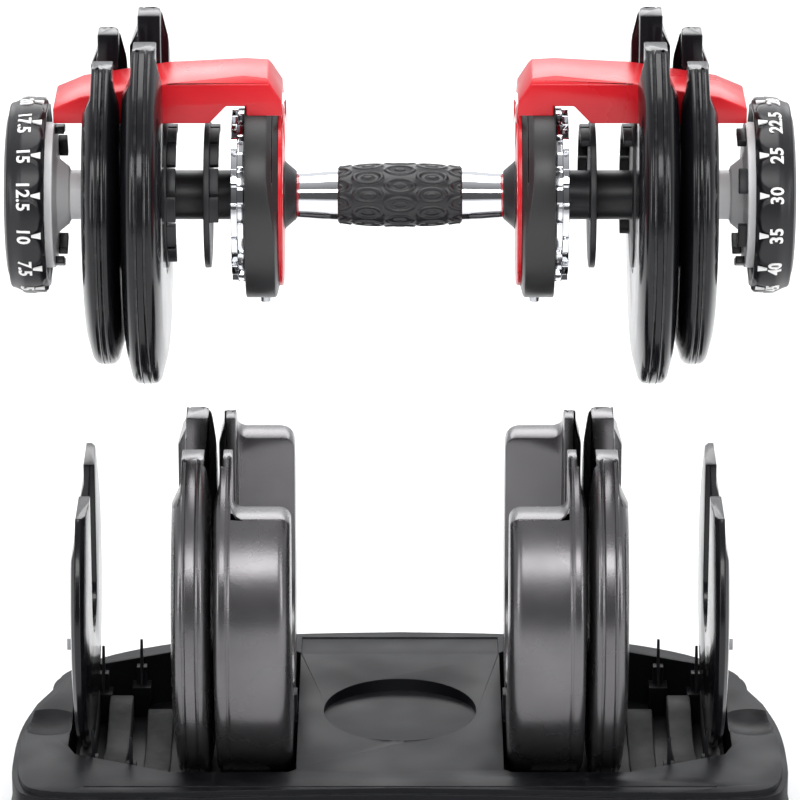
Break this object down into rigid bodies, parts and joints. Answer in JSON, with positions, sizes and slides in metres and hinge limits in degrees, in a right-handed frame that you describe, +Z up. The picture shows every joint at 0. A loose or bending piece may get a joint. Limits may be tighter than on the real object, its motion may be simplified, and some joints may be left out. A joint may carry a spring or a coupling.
{
  "type": "adjustable dumbbell",
  "caption": "Selector dumbbell with weight plates, turning selector dials and a storage tray; the handle is shown lifted out with some of the plates.",
  "frame": {"origin": "middle of the underside of the tray's feet", "axes": "+X along the handle, -Y towards the user, +Z up"},
  "size_m": [0.404, 0.212, 0.411],
  "materials": {
    "tray_plastic": "moulded, fine matt grain",
    "foot_rubber": "matt rubber",
    "steel": "zinc plated steel",
    "chrome": "polished chrome",
    "grip_rubber": "soft rubber with embossed ovals",
    "disc_plastic": "smooth black nylon",
    "housing_plastic": "satin, fine spark texture",
    "red_plastic": "moulded red, semi gloss",
    "dial_plastic": "black with white printed numbers",
    "cam_plastic": "light grey nylon",
    "weight_gloss": "black moulding over iron, gloss",
    "weight_satin": "dark moulding over iron, satin"
  },
  "bodies": {
    "tray": {"tray": "tray_plastic", "tray_cradles": "foot_rubber", "tray_dividers": "tray_plastic", "tray_feet": "foot_rubber", "release_lugs": "tray_plastic", "tray_screws": "steel"},
    "handle": {"axle": "steel", "handle_tube": "chrome", "grip": "grip_rubber", "bridge_screws": "steel", "left_collar": "disc_plastic", "left_end_housing": "housing_plastic", "left_housing_plate": "housing_plastic", "left_housing_trim": "red_plastic", "left_bridge_cover": "red_plastic", "left_bridge_frame": "steel", "left_lock_spring": "steel", "right_collar": "disc_plastic", "right_end_housing": "housing_plastic", "right_housing_plate": "housing_plastic", "right_housing_trim": "red_plastic", "right_bridge_cover": "red_plastic", "right_bridge_frame": "steel", "right_lock_spring": "steel"},
    "left_selector": {"left_dial_knob": "dial_plastic", "left_dial_cap": "dial_plastic", "left_cam_disc": "cam_plastic", "left_cam_lips": "disc_plastic", "left_selector_sleeve": "disc_plastic", "left_lift_discs": "disc_plastic", "left_index_disc": "chrome"},
    "left_lock": {"left_lock_pin": "steel"},
    "left_weight_1": {"left_plate_1": "weight_gloss", "left_tab_1": "steel"},
    "left_weight_2": {"left_plate_2": "weight_gloss", "left_tab_2": "steel"},
    "left_weight_3": {"left_plate_3": "weight_gloss", "left_tab_3": "steel"},
    "left_weight_4": {"left_plate_4": "weight_satin", "left_tab_4": "steel"},
    "left_weight_5": {"left_plate_5": "weight_satin", "left_tab_5": "steel"},
    "right_selector": {"right_dial_knob": "dial_plastic", "right_dial_cap": "dial_plastic", "right_cam_disc": "cam_plastic", "right_cam_lips": "disc_plastic", "right_selector_sleeve": "disc_plastic", "right_lift_discs": "disc_plastic", "right_index_disc": "chrome"},
    "right_lock": {"right_lock_pin": "steel"},
    "right_weight_1": {"right_plate_1": "weight_gloss", "right_tab_1": "steel"},
    "right_weight_2": {"right_plate_2": "weight_gloss", "right_tab_2": "steel"},
    "right_weight_3": {"right_plate_3": "weight_gloss", "right_tab_3": "steel"},
    "right_weight_4": {"right_plate_4": "weight_satin", "right_tab_4": "steel"},
    "right_weight_5": {"right_plate_5": "weight_satin", "right_tab_5": "steel"}
  },
  "joints": [
    {"name": "handle_lift", "type": "slide", "parent": "tray", "child": "handle", "axis": [0, 0, 1], "range_m": [-0.218, 0]},
    {"name": "left_dial_turn", "type": "hinge", "parent": "handle", "child": "left_selector", "pos_m": [-0.12, 0, 0.323], "axis": [1, 0, 0], "continuous": true},
    {"name": "left_lock_travel", "type": "slide", "parent": "handle", "child": "left_lock", "axis": [0, 0, 1], "range_m": [0, 0.004], "stiffness_N_per_m": 500, "springref_m": -0.003, "deforming": ["left_lock_spring"]},
    {"name": "left_weight_1_lift", "type": "slide", "parent": "tray", "child": "left_weight_1", "axis": [0, 0, 1], "range_m": [0, 0.218]},
    {"name": "left_weight_2_lift", "type": "slide", "parent": "tray", "child": "left_weight_2", "axis": [0, 0, 1], "range_m": [-0.218, 0]},
    {"name": "left_weight_3_lift", "type": "slide", "parent": "tray", "child": "left_weight_3", "axis": [0, 0, 1], "range_m": [-0.218, 0]},
    {"name": "left_weight_4_lift", "type": "slide", "parent": "tray", "child": "left_weight_4", "axis": [0, 0, 1], "range_m": [0, 0.218]},
    {"name": "left_weight_5_lift", "type": "slide", "parent": "tray", "child": "left_weight_5", "axis": [0, 0, 1], "range_m": [0, 0.218]},
    {"name": "right_dial_turn", "type": "hinge", "parent": "handle", "child": "right_selector", "pos_m": [0.12, 0, 0.323], "axis": [1, 0, 0], "continuous": true},
    {"name": "right_lock_travel", "type": "slide", "parent": "handle", "child": "right_lock", "axis": [0, 0, 1], "range_m": [0, 0.004], "stiffness_N_per_m": 500, "springref_m": -0.003, "deforming": ["right_lock_spring"]},
    {"name": "right_weight_1_lift", "type": "slide", "parent": "tray", "child": "right_weight_1", "axis": [0, 0, 1], "range_m": [0, 0.218]},
    {"name": "right_weight_2_lift", "type": "slide", "parent": "tray", "child": "right_weight_2", "axis": [0, 0, 1], "range_m": [-0.218, 0]},
    {"name": "right_weight_3_lift", "type": "slide", "parent": "tray", "child": "right_weight_3", "axis": [0, 0, 1], "range_m": [-0.218, 0]},
    {"name": "right_weight_4_lift", "type": "slide", "parent": "tray", "child": "right_weight_4", "axis": [0, 0, 1], "range_m": [0, 0.218]},
    {"name": "right_weight_5_lift", "type": "slide", "parent": "tray", "child": "right_weight_5", "axis": [0, 0, 1], "range_m": [0, 0.218]}
  ],
  "couplings": [
    {"joint": "left_weight_2_lift", "follows": "handle_lift", "ratio": 1},
    {"joint": "left_weight_3_lift", "follows": "handle_lift", "ratio": 1},
    {"joint": "right_weight_2_lift", "follows": "handle_lift", "ratio": 1},
    {"joint": "right_weight_3_lift", "follows": "handle_lift", "ratio": 1}
  ]
}
